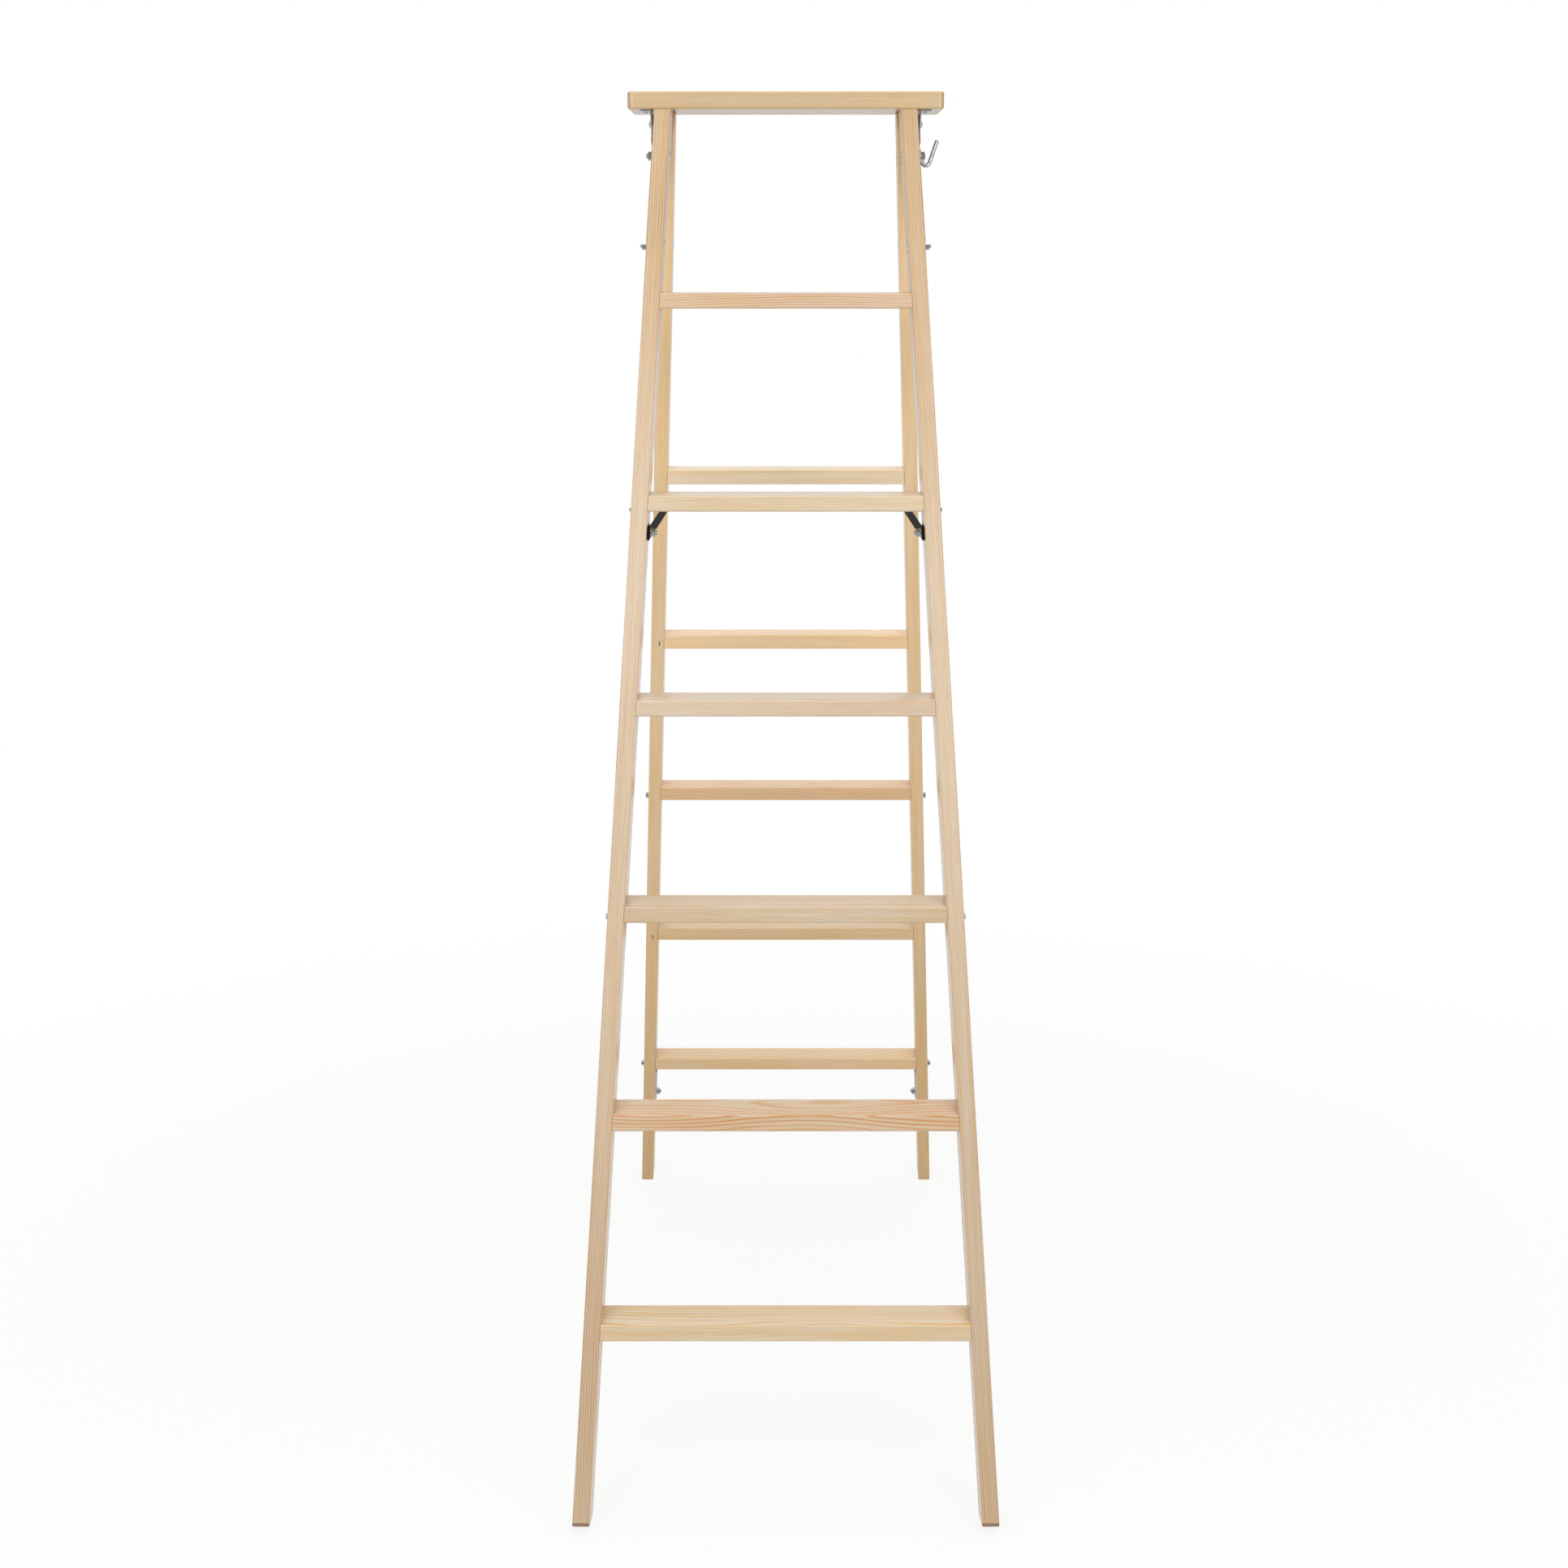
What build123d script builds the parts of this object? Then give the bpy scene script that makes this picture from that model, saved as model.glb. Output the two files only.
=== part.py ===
"""Wooden folding step ladder: a front frame of treads under a platform, and a hinged rear frame of rungs.

The ladder stands open. X runs across it, Y from front to back and Z up from the floor. The origin lies on the
floor, in the middle of the ladder's footprint.
"""
import os
from math import atan, cos, radians, sin, tan

from build123d import *

os.makedirs("parts", exist_ok=True)

# Driving sizes, in millimetres and degrees
pitch = 250.0                 # floor to first tread, and each tread to the next
tread_count = 6
rung_count = 5
rung_pitch = 250.5
front_lean = 16.0             # each frame's slope, from upright
rear_lean = 17.5

front_half_floor = 266.0      # half widths over the stiles, at the floor and under the platform
front_half_top = 168.4
rear_half_floor = 247.5
rear_half_top = 163.4
front_stile = (21.3, 55.0)    # thickness across, depth front to back
rear_stile = (19.4, 58.0)
edge_round = 2.0

tread_thickness = 19.5
tread_width = 56.8            # level depth, front edge to back edge
rung_thickness = 21.8
rung_width = 51.6
tenon_length = 9.0            # how far treads and rungs are let into the stiles
tenon_front = 8.0             # shoulders in front of and behind the tenon
tenon_back = 6.0
glue_line = 0.1

platform_size = (404.6, 126.0, 21.6)
platform_corner = 7.0
platform_round = 2.5
platform_overhang = 1.5       # past the stiles' front edges

toe_lift = 11.0               # the square-cut front feet stand on their heels
toe_chamfer = 6.0
heel_chamfer = 6.5
foot_round = 1.5
rear_top_gap = 1.0            # rear stiles end this far under the platform
nose_gap = 0.8                # rear stiles' noses clear the front stiles by this

pivot_drop = 16.4             # below the platform's underside
hinge_gap = 3.1               # between the two frames, at the height of the pivot
pivot_diameter = 6.0
running_gap = 0.05
plate_thickness = 1.8
plate_gap = 0.15
eye_radius = 13.0
eye_standoff = 1.7            # from the front stile's outer face to the inner eye
bolt_drops = (48.5, 168.0)    # hinge bolts below the pivot, along the stile
bolt_insets = (18.0, 27.0)    # hinge bolts behind the faces that meet when it folds
plate_end_radius = 11.0
joggle = (31.0, 39.0)         # where the plates step from the eye to the stile, below the pivot
tab_size = (26.0, 15.0)       # bracket tab under the platform, along Y and out
dome_height = 4.5
dome_diameter = 11.7
rivet_foot = (10.0, 0.9)      # diameter and thickness of the rivet's inner head

bolt_diameter = 6.0
hole_gap = 0.1                # radial, bolt in wood or plate
bolt_head = (16.4, 3.9)       # diameter and height of the domed carriage head
bolt_sink = 2.6               # the heads are drawn this far into the wood
bolt_end = 2.4                # thread past the nut
nut = (10.0, 5.0)             # across flats, height
countersink = (12.0, 3.0)

tied_bars = {                 # each tie rod lies in a groove under this tread or rung
    "tie_rod_front_lower": "tread_3",
    "tie_rod_front_upper": "tread_5",
    "tie_rod_rear_lower": "rung_1",
    "tie_rod_rear_upper": "rung_3",
}
rod_diameter = 5.0
rod_rise = 1.0                # from the bar's underside up to the rod's middle
rod_nut = (8.0, 4.0)
rod_end = 0.7
rod_washer = (20.0, 1.6)
front_washer_sink = 1.6       # the front washers are let in flush, the rear ones stand proud
rear_washer_sink = 0.0
seat_margin = 0.1

strap_height = 1202.0
strap_width = 17.0
strap_thickness = 1.6
strap_end = 14.0              # past the bolts; the ends are folded double, as far on their other side
strap_gap = 0.15
strap_washer = (12.0, 1.6)

keeper_height = 172.0
keeper_size = (16.0, 64.0, 2.0)   # width, length and thickness of the lower plate
keeper_above = 14.0

hook_diameter = 5.5
hook_eye = (18.0, 1.5)        # diameter and thickness of the flattened eye
hook_points = ((0.4, -6.3), (1.3, -12.0), (8.8, -12.0), (19.3, 18.5))   # out from the plate, up from the bolt
hook_bend = 4.5

screw_head = (8.0, 2.4)
screw_shank = (4.0, 14.0)

# Values that follow from the sizes
platform_top = pitch * (tread_count + 1)
platform_underside = platform_top - platform_size[2]
rear_top = platform_underside - rear_top_gap
pivot_height = platform_underside - pivot_drop
front_level_depth = front_stile[1] / cos(radians(front_lean))
rear_level_depth = rear_stile[1] / cos(radians(rear_lean))
spread_at_pivot = front_level_depth + hinge_gap
floor_spread = pivot_height * (tan(radians(front_lean)) + tan(radians(rear_lean))) + spread_at_pivot
toe_y = -(floor_spread + rear_level_depth) / 2
far = 4000.0


class Frame:
    """One frame in its own plane: x across, y back from its front face, z up the slope of that face."""

    def __init__(self, turn, lean, foot_y, section, half_floor, half_top, top):
        self.turn = turn      # 1 leans to the back, -1 to the front
        self.lean = radians(lean)
        self.foot_y = foot_y
        self.thickness, self.depth = section
        self.half_floor = half_floor
        self.slope_top = top / cos(self.lean)
        self.taper = (half_floor - half_top) / self.slope_top
        self.splay = atan(self.taper)
        up = (0, self.turn * sin(self.lean), cos(self.lean))
        self.plane = Plane(origin=(0, foot_y, 0), x_dir=(1, 0, 0), z_dir=up)

    def face_y(self, height):
        """Y of the front face at a height."""
        return self.foot_y + self.turn * height * tan(self.lean)

    def slope(self, height, depth=0.0):
        """Distance up the slope of a point at a height, set back by a depth."""
        return (height + self.turn * depth * sin(self.lean)) / cos(self.lean)

    def world(self, depth, slope):
        """Y and Z of a point in the frame."""
        y = self.foot_y + depth * cos(self.lean) + self.turn * slope * sin(self.lean)
        return y, slope * cos(self.lean) - self.turn * depth * sin(self.lean)

    def local(self, y, z):
        """Depth and slope of a point at Y and Z."""
        y = y - self.foot_y
        depth = y * cos(self.lean) - self.turn * z * sin(self.lean)
        return depth, self.turn * y * sin(self.lean) + z * cos(self.lean)

    def outer(self, slope):
        """Half width over the stiles."""
        return self.half_floor - slope * self.taper

    def inner(self, slope):
        """Half width between the stiles."""
        return self.outer(slope) - self.thickness / cos(self.splay)

    def inner_at(self, y, z):
        """Half width between the stiles at a point of the inner face."""
        return self.inner(self.local(y, z)[1])

    def field(self, reach):
        """The space between the stiles' inner faces, reaching into both stiles."""
        low = self.inner(0) + reach
        high = self.inner(self.slope_top) + reach
        corners = ((-low, 0), (low, 0), (high, self.slope_top), (-high, self.slope_top))
        sheet = Plane.XZ * Polygon(*corners, align=None)
        return self.plane * extrude(sheet, amount=far / 2, both=True)

    def outer_face(self, slope, depth):
        """Plane on the left stile's outer face, facing out."""
        out = (-cos(self.splay), 0, sin(self.splay))
        return Plane(origin=(-self.outer(slope), depth, slope), x_dir=(0, 1, 0), z_dir=out)

    def inner_face(self, slope, depth):
        """Plane on the left stile's inner face, facing in."""
        into = (cos(self.splay), 0, -sin(self.splay))
        return Plane(origin=(-self.inner(slope), depth, slope), x_dir=(0, 1, 0), z_dir=into)


front = Frame(1, front_lean, toe_y, front_stile, front_half_floor, front_half_top, platform_underside)
rear = Frame(-1, rear_lean, toe_y + floor_spread, rear_stile, rear_half_floor, rear_half_top, rear_top)

front_back_y = front.face_y(pivot_height) + front.depth / cos(front.lean)
pivot_y = (front_back_y + rear.face_y(pivot_height)) / 2
at_bottom = (Align.CENTER, Align.CENTER, Align.MIN)
at_top = (Align.CENTER, Align.CENTER, Align.MAX)
nodes = {}


def above(height):
    """All space over a height."""
    return Pos(0, 0, height) * Box(far, far, far, align=at_bottom)


def below(height):
    """All space under a height."""
    return Pos(0, 0, height) * Box(far, far, far, align=at_top)


def both_sides(name, left):
    """Keep a left-hand piece and its mirror image as two nodes."""
    nodes[name + "_left"] = left
    nodes[name + "_right"] = left.mirror(Plane.YZ)


def level_section(frame, top, thickness, width, shoulders=(0.0, 0.0)):
    """Cross section of a level tread or rung, planed to the frame's lean at its front and back."""
    low = top - thickness
    front_edge, back_edge = shoulders
    corners = (
        (frame.face_y(top) + front_edge, top),
        (frame.face_y(top) + width - back_edge, top),
        (frame.face_y(low) + width - back_edge, low),
        (frame.face_y(low) + front_edge, low),
    )
    section = Polygon(*corners, align=None)
    return fillet(section.vertices(), edge_round)


def across(section):
    """A section in the YZ plane, run right across the ladder."""
    return extrude(Plane.YZ * section, amount=far / 2, both=True)


def level_bar(frame, top, thickness, width):
    """A tread or rung with a tenon on each end, and the mortise that the tenons fill."""
    tenon = level_section(frame, top, thickness, width, (tenon_front, tenon_back))
    body = across(level_section(frame, top, thickness, width)) & frame.field(0)
    body += across(tenon) & frame.field(tenon_length)
    mortise = across(offset(tenon, glue_line)) & frame.field(tenon_length + glue_line)
    return body, mortise


def hexagon_nut(plane, start, size=nut, thread=bolt_diameter):
    """A nut on a plane, its seat a distance out from the plane."""
    flats, height = size
    blank = extrude(RegularPolygon(flats / 2, 6, major_radius=False), amount=height)
    blank = blank & Cone(flats, flats / 2, height * 1.5, align=at_bottom)
    bore = Cylinder(thread / 2 + running_gap, height, align=at_bottom)
    return plane * (Pos(0, 0, start) * (blank - bore))


def flat_ring(plane, start, size, bore):
    """A washer on a plane."""
    diameter, thickness = size
    ring = Cylinder(diameter / 2, thickness, align=at_bottom) - Cylinder(bore / 2, thickness, align=at_bottom)
    return plane * (Pos(0, 0, start) * ring)


def drilled(plane, start, end, gap=hole_gap):
    """The hole that a bolt passes through."""
    hole = Cylinder(bolt_diameter / 2 + gap, end - start, align=at_bottom)
    return plane * (Pos(0, 0, start) * hole)


def dome(diameter, height):
    """A domed head standing on its flat face."""
    radius = (diameter * diameter / 4 + height * height) / (2 * height)
    ball = Pos(0, 0, height - radius) * Sphere(radius)
    return ball & Cylinder(diameter, height, align=at_bottom)


def carriage_bolt(plane, thickness, grip):
    """A bolt with its domed head sunk in the inner face of a stile and its thread out through the plate."""
    bolt = Cylinder(bolt_diameter / 2, thickness - bolt_sink + grip, align=at_bottom)
    bolt += Rot(180, 0, 0) * dome(*bolt_head)
    return plane * (Pos(0, 0, bolt_sink - thickness) * bolt)


def carriage_hole(plane, thickness):
    """The hole for a carriage bolt, with the hollow that its head is drawn into."""
    hollow = Cylinder(bolt_head[0] / 2 + hole_gap, bolt_sink, align=at_bottom)
    return drilled(plane, -thickness, 0) + plane * (Pos(0, 0, -thickness) * hollow)


def countersunk(thickness, grow=0.0):
    """Countersunk head of a bolt, flush with the far face of a stile, and its cone's seat."""
    diameter, height = countersink
    cone = Cone(diameter / 2 + grow, bolt_diameter / 2 + grow, height + grow, align=at_bottom)
    return Pos(0, 0, -thickness) * cone


def countersunk_bolt(plane, thickness, grip):
    """A bolt with a flush head on the outer face and its thread out of the inner face."""
    shank = Pos(0, 0, -thickness) * Cylinder(bolt_diameter / 2, thickness + grip, align=at_bottom)
    return plane * (shank + countersunk(thickness))


def stile_blank(frame, bottom):
    """The left stile as a straight planed batten with softened edges, past its top cut."""
    top = frame.slope_top + frame.depth
    corners = (
        (-frame.outer(bottom), bottom),
        (-frame.inner(bottom), bottom),
        (-frame.inner(top), top),
        (-frame.outer(top), top),
    )
    batten = extrude(Plane.XZ * Polygon(*corners, align=None), amount=-frame.depth)
    long_edges = [edge for edge in batten.edges() if edge.length > frame.slope_top / 2]
    return fillet(long_edges, edge_round)


def plate_profile(frame, eye_x, slope_pivot, top):
    """A hinge plate seen from the front: on the stile's outer face, then stepped out to the eye."""
    low = slope_pivot - bolt_drops[1] - 2 * plate_end_radius
    step_low = slope_pivot - joggle[1]
    step_high = slope_pivot - joggle[0]
    seat = [(-frame.outer(low), low), (-frame.outer(step_low), step_low), (eye_x, step_high), (eye_x, top)]
    back = [(x - plate_thickness, z) for x, z in reversed(seat)]
    sheet = Plane.XZ * Polygon(*seat, *back, align=None)
    return extrude(sheet, amount=200, both=True)


def plate_outline(slope_pivot, depth_pivot, bolts):
    """A hinge plate seen from the side: round-ended bars from the eye to the upper bolt and the lower one."""
    discs = [Pos(depth_pivot, slope_pivot) * Circle(eye_radius)]
    discs += [Pos(depth, slope) * Circle(plate_end_radius) for slope, depth in bolts]
    bars = [make_hull((start + end).edges()) for start, end in zip(discs, discs[1:])]
    return extrude(Plane.YZ * (bars[0] + bars[1]), amount=far / 2, both=True)


# Pivot and hinge bolts in each frame's own plane
front_pivot_depth, front_pivot_slope = front.local(pivot_y, pivot_height)
rear_pivot_depth, rear_pivot_slope = rear.local(pivot_y, pivot_height)
front_bolts = [(front_pivot_slope - d, front.depth - i) for d, i in zip(bolt_drops, bolt_insets)]
rear_bolts = [(rear_pivot_slope - d, i) for d, i in zip(bolt_drops, bolt_insets)]
rear_eye_x = -front.outer(front_pivot_slope) - eye_standoff
front_eye_x = rear_eye_x - plate_thickness - plate_gap

# Treads and rungs, counted up from the floor
bars = {}
for number in range(tread_count):
    bars["tread_%d" % (number + 1)] = (front, pitch + pitch * number, tread_thickness, tread_width)
for number in range(rung_count):
    bars["rung_%d" % (number + 1)] = (rear, pitch + rung_pitch * number, rung_thickness, rung_width)
wood_cuts = {front: [], rear: []}
for name, (frame, top, thickness, width) in bars.items():
    nodes[name], mortise = level_bar(frame, top, thickness, width)
    wood_cuts[frame].append(mortise)


def tie_rod(frame, underside, sink):
    """A rod half sunk under a tread or rung, its groove, its holes in the stiles, and its washers and nuts."""
    depth = frame.depth / 2
    slope = frame.slope(underside + rod_rise, depth)
    seat = frame.outer(slope) - rod_washer[0] / 2 * frame.taper - seat_margin - sink
    reach = seat + rod_washer[1] + rod_nut[1] + rod_end
    along = Plane(origin=(0, depth, slope), x_dir=(0, 1, 0), z_dir=(-1, 0, 0))
    rod = along * Cylinder(rod_diameter / 2, 2 * reach)
    hole = along * Cylinder(rod_diameter / 2 + hole_gap, 2 * reach)
    recess = along * (Pos(0, 0, seat) * Cylinder(rod_washer[0] / 2 + hole_gap, far, align=at_bottom))
    way_in = Box(far, rod_diameter + 2 * hole_gap, far, align=at_top)
    groove = frame.plane * hole + Pos(0, *frame.world(depth, slope)) * way_in
    ring = flat_ring(along, seat, rod_washer, rod_diameter + 2 * hole_gap)
    end = hexagon_nut(along, seat + rod_washer[1], rod_nut, rod_diameter)
    ends = Compound([ring, end, ring.mirror(Plane.YZ), end.mirror(Plane.YZ)])
    return frame.plane * rod, groove, frame.plane * (hole + recess), frame.plane * ends


washer_sinks = {front: front_washer_sink, rear: rear_washer_sink}
for name, bar in tied_bars.items():
    frame, top, thickness, width = bars[bar]
    rod, groove, holes, ends = tie_rod(frame, top - thickness, washer_sinks[frame])
    nodes[bar] -= groove
    wood_cuts[frame].append(holes)
    nodes[name] = rod
    nodes[name + "_nuts"] = ends

# Straps between the stiles' inner faces, with a bolt through each stile
strap_depths = {front: front.depth / 2, rear: rear.depth / 2}
strap_seats = {}
for frame, depth in strap_depths.items():
    strap_seats[frame] = frame.inner_face(frame.slope(strap_height, depth), depth)
front_strap_y = front.world(strap_depths[front], front.slope(strap_height, strap_depths[front]))[0]
rear_strap_y = rear.world(strap_depths[rear], rear.slope(strap_height, strap_depths[rear]))[0]
rear_edge_y = rear.face_y(strap_height) + edge_round
strap_low = strap_height - strap_width / 2
strap_run = [
    (front, front_strap_y - strap_end),
    (front, front_strap_y + strap_end),
    (rear, rear_edge_y),
    (rear, rear_strap_y + strap_end),
]
strap_lean = Vector((front.taper + rear.taper) / 2 * cos(front.lean), 0, 1)


def webbing(run, lift):
    """A flat length of webbing past points on the stiles' inner faces, lifted off them."""
    near = [(-frame.inner_at(y, strap_low) + lift, y) for frame, y in run]
    away = [(x + strap_thickness, y) for x, y in reversed(near)]
    face = Pos(0, 0, strap_low) * make_face(Polyline(*near, *away, close=True))
    return extrude(face, amount=strap_width * strap_lean.length, dir=strap_lean)


strap = webbing(strap_run, strap_gap + strap_thickness)
strap += webbing(strap_run[:2], strap_gap)
strap += webbing([(rear, rear_strap_y - strap_end), strap_run[-1]], strap_gap)
strap_hold = strap_gap * 2 + strap_thickness * 2
for frame, seat in strap_seats.items():
    strap -= frame.plane * drilled(seat, -strap_end, strap_end)
both_sides("strap", strap)

# Lower plates on the rear stiles' inner faces
keeper_depth = rear.depth / 2
keeper_seat = rear.inner_face(rear.slope(keeper_height, keeper_depth), keeper_depth)
keeper_width, keeper_length, keeper_thickness = keeper_size
keeper_shape = SlotOverall(keeper_length, keeper_width, rotation=90)
keeper = extrude(Pos(0, keeper_above - keeper_length / 2) * keeper_shape, amount=keeper_thickness)
upright = Plane(keeper_seat.origin, x_dir=(0, -1, 0), z_dir=keeper_seat.z_dir)
keeper = upright * keeper - drilled(keeper_seat, 0, keeper_thickness)
both_sides("keeper_plate", rear.plane * keeper)

# Bolts with flush heads: through the straps and through the lower plates
flush_bolts = [
    ("strap_bolt_front", front, strap_seats[front], strap_hold, strap_washer),
    ("strap_bolt_rear", rear, strap_seats[rear], strap_hold, strap_washer),
    ("keeper_bolt", rear, keeper_seat, keeper_thickness, None),
]
bolt_cuts = {front: [], rear: []}
for name, frame, seat, hold, ring in flush_bolts:
    fixings = []
    if ring:
        fixings.append(flat_ring(seat, hold, ring, bolt_diameter + 2 * hole_gap))
        hold = hold + ring[1]
    fixings.append(hexagon_nut(seat, hold))
    bolt = countersunk_bolt(seat, frame.thickness, hold + nut[1] + bolt_end)
    both_sides(name, frame.plane * bolt)
    both_sides(name + "_nut", frame.plane * Compound(fixings))
    head_seat = seat * countersunk(frame.thickness, hole_gap)
    bolt_cuts[frame].append(drilled(seat, -frame.thickness, 0) + head_seat)

# Hinge plates, their bolts and nuts
tab_depth = front.depth / 2 - tab_size[0] / 2
plate_bolts = {front: front_bolts, rear: rear_bolts}
plate_pivots = {front: (front_pivot_slope, front_pivot_depth), rear: (rear_pivot_slope, rear_pivot_depth)}
plate_eyes = {front: front_eye_x, rear: rear_eye_x}
plate_bores = {front: pivot_diameter / 2, rear: pivot_diameter / 2 + running_gap}
plate_names = {front: "front", rear: "rear"}
for frame, bolts in plate_bolts.items():
    side = plate_names[frame]
    slope_pivot, depth_pivot = plate_pivots[frame]
    outline = plate_outline(slope_pivot, depth_pivot, bolts)
    top = slope_pivot + eye_radius
    if frame is front:
        top = frame.slope_top + frame.depth
        tab_side = Pos(tab_depth, slope_pivot - eye_radius) * Rectangle(tab_size[0], top, align=Align.MIN)
        outline += extrude(Plane.YZ * tab_side, amount=far / 2, both=True)
    plate = plate_profile(frame, plate_eyes[frame], slope_pivot, top) & outline
    pivot_axis = Plane(origin=(0, depth_pivot, slope_pivot), x_dir=(0, 1, 0), z_dir=(-1, 0, 0))
    plate -= pivot_axis * Cylinder(plate_bores[frame], far)
    nuts = {"left": [], "right": []}
    for place, (slope, depth) in zip(("upper", "lower"), bolts):
        seat = frame.outer_face(slope, depth)
        plate -= drilled(seat, 0, plate_thickness)
        bolt_cuts[frame].append(carriage_hole(seat, frame.thickness))
        bolt = carriage_bolt(seat, frame.thickness, plate_thickness + nut[1] + bolt_end)
        both_sides("hinge_bolt_%s_%s" % (side, place), frame.plane * bolt)
        lift = 0.0
        if frame is front and place == "upper":
            lift = hook_eye[1]
            hook_seat = seat
        nuts["left"].append(frame.plane * hexagon_nut(seat, plate_thickness))
        right_nut = frame.plane * hexagon_nut(seat, plate_thickness + lift)
        nuts["right"].append(right_nut.mirror(Plane.YZ))
    for hand, pair in nuts.items():
        nodes["hinge_nuts_%s_%s" % (side, hand)] = Compound(pair)
    plate = frame.plane * plate
    if frame is front:
        plate -= above(platform_underside - plate_gap)
        tab_y = frame.world(tab_depth, frame.slope_top)[0]
        tab_place = Pos(front_eye_x, tab_y, platform_underside - plate_gap)
        tab = Box(tab_size[1], tab_size[0] * cos(frame.lean), plate_thickness, align=Align.MAX)
        tab = tab.moved(Pos(0, tab_size[0] * cos(frame.lean), 0))
        plate += tab_place * tab
        screw_y = tab_y + tab_size[0] * cos(frame.lean) / 2
        screw_x = front_eye_x - tab_size[1] * 0.6
        screw_place = Pos(screw_x, screw_y, platform_underside - plate_gap)
        plate -= screw_place * Cylinder(screw_shank[0] / 2 + hole_gap, far, align=at_top)
    both_sides("hinge_plate_" + side, plate)

# Tab screws: domed heads under the tabs, shanks up into the platform
tab_screw = Cylinder(screw_shank[0] / 2, screw_shank[1] + plate_thickness, align=at_bottom)
tab_screw += Rot(180, 0, 0) * dome(*screw_head)
tab_screw = screw_place * Pos(0, 0, -plate_thickness) * tab_screw
tab_screws = [tab_screw, tab_screw.mirror(Plane.YZ)]
nodes["tab_screws"] = Compound(tab_screws)

# Hinge rivets: a dome outside the plates, a thin foot inside them
rivet_axis = Plane(origin=(rear_eye_x, pivot_y, pivot_height), x_dir=(0, 1, 0), z_dir=(-1, 0, 0))
stack = 2 * plate_thickness + plate_gap
rivet = Pos(0, 0, -plate_gap) * Cylinder(pivot_diameter / 2, stack + plate_gap, align=at_bottom)
rivet += Pos(0, 0, stack) * dome(dome_diameter, dome_height)
rivet += Pos(0, 0, -plate_gap) * Cylinder(rivet_foot[0] / 2, rivet_foot[1], align=at_top)
both_sides("hinge_rivet", rivet_axis * rivet)

# Bucket hook, held by the upper hinge nut of the right front stile
hook_base = hook_seat.origin + hook_seat.z_dir * (plate_thickness + hook_diameter / 2)
hook_corners = [hook_base + Vector(-out, 0, up) for out, up in hook_points]
hook_path = FilletPolyline(*hook_corners, radius=hook_bend)
hook_start = Plane(origin=hook_corners[0], z_dir=hook_path % 0)
hook = flat_ring(hook_seat, plate_thickness, hook_eye, bolt_diameter + 2 * hole_gap)
hook += sweep(hook_start * Circle(hook_diameter / 2), path=hook_path)
hook += Pos(*hook_corners[-1]) * Sphere(hook_diameter / 2)
nodes["bucket_hook"] = (front.plane * hook).mirror(Plane.YZ)

# Stiles, cut for everything that they hold
front_foot = toe_lift / cos(front.lean)
stile = stile_blank(front, front_foot)
stile = fillet(stile.faces().sort_by(Axis.Z)[0].edges(), foot_round)
toe = Polygon((0, 0), (toe_chamfer, 0), (0, toe_chamfer), align=None)
stile -= extrude(Plane.YZ * (Pos(0, front_foot) * toe), amount=far / 2, both=True)
for cut in bolt_cuts[front]:
    stile -= cut
stile = front.plane * stile - above(platform_underside) - below(0)
heel_y = toe_y + front_level_depth
heel_back = heel_y + heel_chamfer * tan(front.lean)
heel_points = ((heel_y - heel_chamfer, 0), (heel_back + heel_chamfer, 0), (heel_back, heel_chamfer))
stile -= across(Polygon(*heel_points, align=None))
for cut in wood_cuts[front]:
    stile -= cut
both_sides("front_stile", stile)

stile = stile_blank(rear, -rear.depth)
for cut in bolt_cuts[rear]:
    stile -= cut
stile = rear.plane * stile - above(rear_top) - below(0)
stile = fillet(stile.faces().sort_by(Axis.Z)[0].edges(), foot_round)
nose_y = front.face_y(platform_underside) + front.depth / cos(front.lean) + nose_gap
before_nose = Box(far, far, far, align=(Align.CENTER, Align.MAX, Align.MIN))
stile -= Pos(0, nose_y, pivot_height - eye_radius) * before_nose
for cut in wood_cuts[rear]:
    stile -= cut
both_sides("rear_stile", stile)

# Platform, on the front stiles' tops
platform = Box(*platform_size, align=(Align.CENTER, Align.MIN, Align.MAX))
platform = fillet(platform.edges().filter_by(Axis.Z), platform_corner)
rims = platform.faces().sort_by(Axis.Z)
platform = fillet(rims[0].edges() + rims[-1].edges(), platform_round)
platform = Pos(0, front.face_y(platform_underside) - platform_overhang, platform_top) * platform
for screw in tab_screws:
    platform -= screw
nodes["top_platform"] = platform

for name, shape in nodes.items():
    export_step(shape, "parts/%s.step" % name)
print(len(nodes), "nodes; pivot at Y %.2f Z %.2f; closes through %.1f degrees" % (
    pivot_y, pivot_height, front_lean + rear_lean))
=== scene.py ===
# %% [markdown]
# # A wooden folding step ladder
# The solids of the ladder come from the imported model: two frames of planed pine, steel hinges and fixings,
# and two webbing straps. They are loaded as they are, which keeps every size true, and this lesson dresses
# them. Each wooden piece gets grain that runs along its own length, each metal piece gets a plated finish,
# and the straps are woven again as thin ribbons. Floor, light and camera come last.

# %% Load the model
from math import cos, radians, sin

import bmesh
import bpy
from mathutils import Matrix, Vector
from mathutils.bvhtree import BVHTree


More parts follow.
